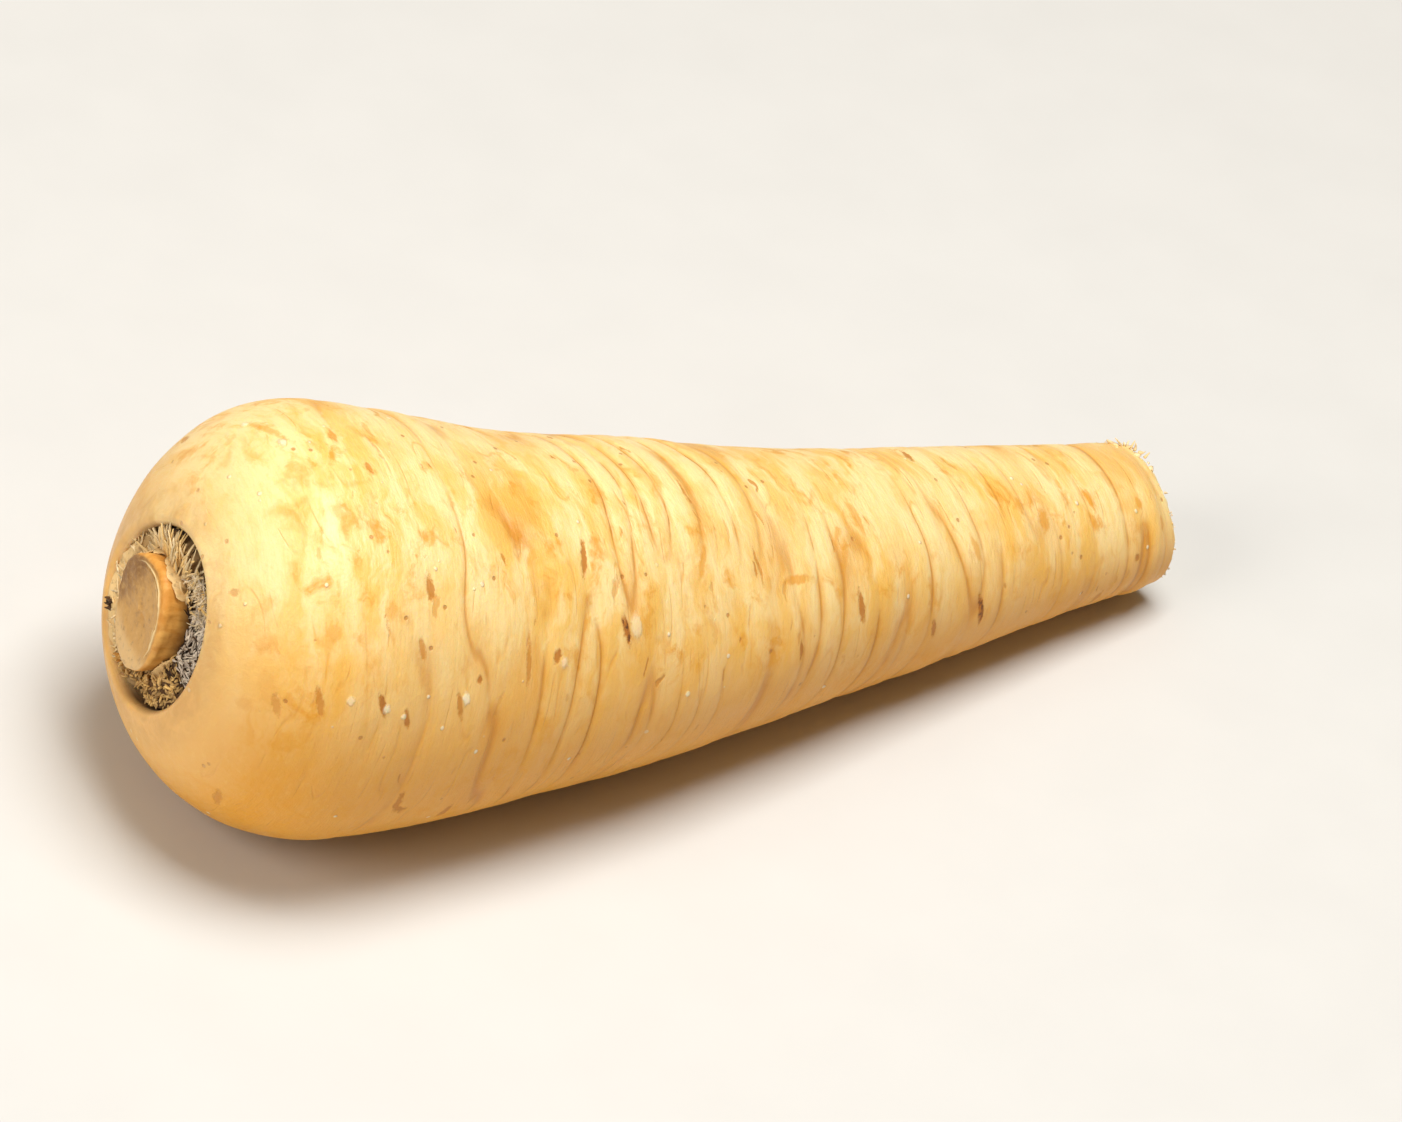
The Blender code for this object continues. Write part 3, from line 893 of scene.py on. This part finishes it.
def creases(tree, grown):
    """The folds' dark creases, the stain beside them and the fine wrinkles' lines, each in patches."""
    fold, wrinkle = attribute(tree, "fold"), attribute(tree, "wrinkle")
    gate = clouds(tree, stretched(tree, grown, (0.13, 0.085, 0.085), (7, 3, 1)))
    gate = times(tree, ranged(tree, gate, 0.36, 0.54), attribute(tree, "creased"))
    lines, halo = (times(tree, crease_lines(tree, fold, width), gate) for width in (0.055, 0.20))
    fine_gate = clouds(tree, stretched(tree, grown, (0.3, 0.16, 0.16), (1, 8, 2)))
    fine = times(tree, crease_lines(tree, wrinkle, 0.06), ranged(tree, fine_gate, 0.48, 0.62))
    return lines, halo, fine


def scattered_dashes(tree, place, torn, station):
    """Long cells that lie round the root, few of them kept, each with a torn edge. None is on the crown."""
    dashes = None
    kinds = (((0.55, 0.115, 0.115), (3, 1, 5), 0.87, 0.20), ((0.9, 0.27, 0.27), (9, 4, 2), 0.91, 0.22))
    for scale, shift, kept, size in kinds:
        near, pick = cells(tree, stretched(tree, place, scale, shift))
        near = plus(tree, near, times(tree, less(tree, torn, 0.5), 0.45))
        near = ranged(tree, near, size - 0.06, size + 0.10, 1.0, 0.0)
        some = times(tree, ranged(tree, pick["Red"], kept, kept + 0.02), near)
        dash = times(tree, some, ranged(tree, pick["Green"], 0.0, 1.0, 0.2, 0.75, False))
        dashes = dash if dashes is None else maths(tree, "MAXIMUM", dashes, dash)
    return times(tree, dashes, ranged(tree, station, 4.0, 16.0))


def skin_finish():
    """Parsnip skin: cream with amber stains round the root, tinted creases, brown dashes and pale specks,
    with painted shade on its underside, in its pit and by the pit's rim.

    Its patterns follow the growing root: place along it, aside and up, in mm.
    """
    made, tree, shader = new_finish("parsnip_skin")
    grown = attribute(tree, "grown", "Vector")
    inside, cut, under = (attribute(tree, name) for name in ("inside", "cut", "under"))
    station = add_node(tree, "ShaderNodeSeparateXYZ", {0: grown}).outputs["X"]

    # Stains and dashes are set a little astray, so that none runs straight.
    stray = clouds(tree, stretched(tree, grown, (0.16, 0.13, 0.13)), roughness=0.5, output="Color")
    stray = vector_maths(tree, "SUBTRACT", stray, (0.5, 0.5, 0.5))
    stray = vector_maths(tree, "MULTIPLY", stray, (7, 7, 7))
    place = vector_maths(tree, "ADD", grown, stray)

    bands = clouds(tree, stretched(tree, place, (0.24, 0.075, 0.075)), 4, 0.6)
    broad = clouds(tree, stretched(tree, place, (0.055, 0.055, 0.055), (4, 2, 9)))
    blotch = clouds(tree, stretched(tree, place, (0.30, 0.19, 0.19), (2, 5, 1)), 5, 0.62)
    grain = clouds(tree, stretched(tree, grown, (1.5, 0.9, 0.9)), 4, 0.65)
    streak = clouds(tree, stretched(tree, grown, (1.1, 0.14, 0.14), (5, 5, 5)), 5, 0.65)
    gold, amber = SKIN["gold"], SKIN["amber"]
    stain = times(tree, ranged(tree, bands, 0.40, 0.62), ranged(tree, broad, 0.33, 0.60, 0.35, 1.0))
    colour = mixed(tree, stain, SKIN["cream"], gold)
    colour = mixed(tree, times(tree, ranged(tree, streak, 0.45, 0.72), 0.42), colour, gold)
    spots = times(tree, ranged(tree, blotch, 0.52, 0.70), ranged(tree, broad, 0.38, 0.60, 0.18, 0.95))
    colour = mixed(tree, spots, colour, amber)
    # Painted shade: the lower side is mixed towards a deeper amber, as though it were shaded.
    colour = mixed(tree, ranged(tree, under, 0.06, 0.62, 0.0, 0.9), colour, SKIN["painted_shade_underside"])
    colour = mixed(tree, times(tree, ranged(tree, grain, 0.5, 0.8), 0.35), colour, gold)

    lines, halo, fine = creases(tree, grown)
    colour = mixed(tree, times(tree, halo, 0.55), colour, amber)
    colour = mixed(tree, times(tree, lines, 0.6), colour, SKIN["crease"])
    colour = mixed(tree, times(tree, fine, 0.42), colour, amber)

    torn = clouds(tree, stretched(tree, grown, (1.9, 1.1, 1.1)), 4, 0.7)
    group = mark_group()
    stains = placed_marks(tree, group, grown, torn, AMBER_MARKS)
    colour = mixed(tree, times(tree, stains, 0.85), colour, amber)
    marks = placed_marks(tree, group, grown, torn, BROWN_MARKS)
    marks = maths(tree, "MAXIMUM", scattered_dashes(tree, place, torn, station), marks)
    colour = mixed(tree, times(tree, ranged(tree, marks, 0.0, 0.6), 0.7), colour, SKIN["mark_edge"])
    colour = mixed(tree, ranged(tree, marks, 0.35, 1.0, 0.0, 0.8), colour, SKIN["mark"])
    heart = times(tree, ranged(tree, marks, 0.80, 1.0, 0.0, 0.9), ranged(tree, torn, 0.56, 0.36))
    colour = mixed(tree, heart, colour, SKIN["mark_heart"])

    near, pick = cells(tree, stretched(tree, grown, (0.55, 0.5, 0.5)))
    near = ranged(tree, near, 0.10, 0.19, 1.0, 0.0)
    prick = times(tree, near, ranged(tree, pick["Red"], 0.88, 0.9))
    speck = times(tree, near, ranged(tree, pick["Blue"], 0.93, 0.95))
    speck = maths(tree, "MAXIMUM", speck, placed_marks(tree, group, grown, torn, PALE_SPECKS))
    colour = mixed(tree, times(tree, prick, 0.7), colour, SKIN["prick"])
    colour = mixed(tree, times(tree, speck, 0.8), colour, SKIN["speck"])

    # The crown is smoother and a little greyer, brown soil with painted shade darkens the skin by the pit's
    # rim, the pit's wall is painted near-black as shade but for its paler left side, with stains over it, and
    # the cut tip shows pale flesh.
    colour = mixed(tree, ranged(tree, station, 9.0, 0.6, 0.0, 0.45), colour, SKIN["crown"])
    # Soil and painted shade: the skin darkens to brown in patches towards the pit's rim.
    soil_and_rim_shade = times(tree, ranged(tree, station, 2.4, 0.2), ranged(tree, blotch, 0.30, 0.60))
    colour = mixed(tree, times(tree, soil_and_rim_shade, 0.38), colour, SKIN["soil_and_rim_shade"])
    # Painted shade: the pit's wall is near-black, turning pale only towards its left side.
    side = vector_maths(tree, "DOT_PRODUCT", grown, (0, 0.87, -0.5), "Value")
    wall = mixed(tree, ranged(tree, side, 3.0, 9.5), SKIN["painted_shade_wall"], SKIN["pale_wall"])
    wall = mixed(tree, ranged(tree, grain, 0.4, 0.7, 0.0, 0.5), wall, SKIN["wall_stain"])
    colour = mixed(tree, inside, colour, wall)
    flesh = clouds(tree, stretched(tree, grown, (0.3, 0.9, 0.9)), 6, 0.7)
    flesh = mixed(tree, ranged(tree, flesh, 0.40, 0.75), SKIN["flesh"], SKIN["flesh_grain"])
    colour = mixed(tree, cut, colour, flesh)

    pores = clouds(tree, stretched(tree, grown, (1.8, 1.3, 1.3)), 4, 0.68)
    scratch = clouds(tree, stretched(tree, grown, (2.2, 0.22, 0.22)), 4, 0.6)
    height = times(tree, pores, 0.35)
    raised = ((scratch, 0.40), (blotch, 0.9), (speck, 0.9))
    sunk = ((lines, -0.45), (fine, -0.25), (marks, -0.8), (prick, -0.5))
    for value, amount in raised + sunk:
        height = plus(tree, height, times(tree, value, amount))
    rough = plus(tree, ranged(tree, blotch, 0.3, 0.75, 0.38, 0.52), times(tree, marks, 0.2))
    coated(tree, shader, colour, rough, 0.45, height, 0.40 * MM)
    shader.inputs["Subsurface Weight"].default_value = 0.25
    shader.inputs["Subsurface Radius"].default_value = (1.0, 0.5, 0.12)
    shader.inputs["Subsurface Scale"].default_value = 2.0 * MM
    return made


def stub_finish():
    """Cut leafstalk: a tan face, darker at its upper left, with pale rims, and smooth amber sides, painted
    dark brown below the pit's lip as painted shade.

    Its patterns follow place across the face as shares of the stub's outline, and the station in mm.
    """
    made, tree, shader = new_finish("cut_leafstalk")
    across = attribute(tree, "across", "Vector")
    face, rim = attribute(tree, "face"), attribute(tree, "rim")
    parts = add_node(tree, "ShaderNodeSeparateXYZ", {0: across}).outputs
    grain = clouds(tree, stretched(tree, across, (8, 8, 0.6)), 6, 0.7)
    cloud = clouds(tree, stretched(tree, across, (1.7, 1.7, 0.3)), 4, 0.55, 0.5)
    lean = plus(tree, parts["X"], times(tree, parts["Y"], 0.7))
    lean = plus(tree, lean, times(tree, less(tree, cloud, 0.5), 1.1))
    top = mixed(tree, ranged(tree, lean, 0.1, 0.95), STALK["face"], STALK["dark_face"])
    low = ranged(tree, plus(tree, parts["Y"], times(tree, cloud, 0.3)), -0.35, -0.6)
    top = mixed(tree, times(tree, low, 0.6), top, STALK["pale_face"])
    top = mixed(tree, ranged(tree, grain, 0.45, 0.75, 0.0, 0.45), top, STALK["pale_grain"])
    top = mixed(tree, ranged(tree, grain, 0.48, 0.25, 0.0, 0.65), top, STALK["dark_grain"])
    top = mixed(tree, ranged(tree, rim, 0.25, 0.8), top, STALK["rim"])
    ribs = clouds(tree, stretched(tree, across, (5, 5, 0.25)), 5, 0.6)
    side = mixed(tree, ranged(tree, ribs, 0.35, 0.65), STALK["side"], STALK["side_rib"])
    # Painted shade: the side darkens to a near-black brown where it goes down into the pit.
    side = mixed(tree, times(tree, ranged(tree, parts["Z"], 0.4, 2.6), 0.85), side, STALK["foot"])
    colour = mixed(tree, face, side, top)
    height = plus(tree, times(tree, grain, 0.6), times(tree, ribs, 0.4))
    coated(tree, shader, colour, ranged(tree, grain, 0.3, 0.8, 0.42, 0.7), 0.35, height, 0.25 * MM)
    return made


def dry_finish(name, rough):
    """Dried leaf tissue: each piece's own tint, mottled lighter and darker by a fine grain."""
    made, tree, shader = new_finish(name)
    spot = add_node(tree, "ShaderNodeTexCoord").outputs["Object"]
    tint = attribute(tree, "tint", "Color")
    grain = clouds(tree, stretched(tree, spot, (1300, 1300, 1300)), 4, 0.65)
    colour = mixed(tree, ranged(tree, grain, 0.50, 0.3, 0.0, 0.45), tint, (0.10, 0.05, 0.02, 1))
    colour = mixed(tree, ranged(tree, grain, 0.55, 0.8, 0.0, 0.3), colour, (0.92, 0.80, 0.60, 1))
    coated(tree, shader, colour, ranged(tree, grain, 0.3, 0.7, rough, rough + 0.2), 0.25, grain, 0.15 * MM)
    return made


def floor_finish():
    """A pale matt table with the faintest mottle."""
    made, tree, shader = new_finish("pale_table")
    spot = add_node(tree, "ShaderNodeTexCoord").outputs["Object"]
    mottle = clouds(tree, stretched(tree, spot, (60, 60, 60)))
    colour = mixed(tree, mottle, (0.66, 0.66, 0.655, 1), (0.69, 0.69, 0.685, 1))
    coated(tree, shader, colour, ranged(tree, mottle, 0.2, 0.8, 0.6, 0.75), 0.2)
    return made


# Studio


def place_camera(low, high):
    """A long lens, looking at the middle of the root from its crown's side, and rolled."""
    side, tilt, roll = (math.radians(turn) for turn in CAMERA_TURNS)
    back = np.array([math.cos(tilt) * math.sin(side), -math.cos(tilt) * math.cos(side), math.sin(tilt)])
    right = np.array([math.cos(side), math.sin(side), 0])
    above = np.cross(back, right)
    across = math.cos(roll) * right - math.sin(roll) * above
    upright = math.sin(roll) * right + math.cos(roll) * above
    centre = (np.array(low) + np.array(high)) / 2
    data = bpy.data.cameras.new("studio_camera")
    data.lens = CAMERA_LENS
    data.sensor_width = 36
    data.clip_start = 0.05
    camera = bpy.data.objects.new("studio_camera", data)
    turn = Matrix([across, upright, back]).transposed().to_4x4()
    camera.matrix_world = Matrix.Translation(Vector(centre + back * CAMERA_DISTANCE)) @ turn
    bpy.context.scene.collection.objects.link(camera)
    bpy.context.scene.camera = camera


def softbox(name, place, size, power, colour):
    """A square soft light that faces the root."""
    data = bpy.data.lights.new(name, "AREA")
    data.shape = "SQUARE"
    data.size = size
    data.energy = power
    data.color = colour
    lamp = bpy.data.objects.new(name, data)
    lamp.location = place
    lamp.rotation_euler = Vector(place).to_track_quat("Z", "Y").to_euler()
    bpy.context.scene.collection.objects.link(lamp)


def studio():
    """A broad table, two soft lights, a weak warm light all round, and plain tones."""
    mesh = bpy.data.meshes.new("table_top")
    corners = [(x * TABLE_REACH, y * TABLE_REACH, 0) for x, y in ((-1, -1), (1, -1), (1, 1), (-1, 1))]
    mesh.from_pydata(corners, [], [(0, 1, 2, 3)])
    mesh.materials.append(floor_finish())
    table = bpy.data.objects.new("table_top", mesh)
    bpy.context.scene.collection.objects.link(table)
    softbox("key_light", (0.05, -0.08, 1.05), 0.55, 12.6, (1.0, 0.98, 0.94))
    softbox("side_light", (-0.95, -0.25, 0.62), 0.6, 6.0, (1.0, 0.95, 0.86))
    world = bpy.data.worlds.new("studio_world")
    world.use_nodes = True
    glow = world.node_tree.nodes["Background"].inputs
    glow["Color"].default_value = (1.0, 0.82, 0.58, 1)
    glow["Strength"].default_value = 0.16
    bpy.context.scene.world = world
    bpy.context.scene.view_settings.view_transform = "Standard"


def build():
    """Every piece, the camera and the studio."""
    root_skin(skin_finish())
    stub_body(stub_finish())
    dried = dry_finish("dried_leaf_base", 0.72)
    papery = dry_finish("papery_sheath", 0.5)
    collar_bed(dried)
    for patch in PATCHES:
        combed(*patch, dried)
    tip_shreds(papery)
    for number, (place, spread, point_at) in enumerate(FLAKES, start=1):
        flake(number, place, spread, point_at, papery)
    place_camera(*CAD_BOX)
    studio()


build()
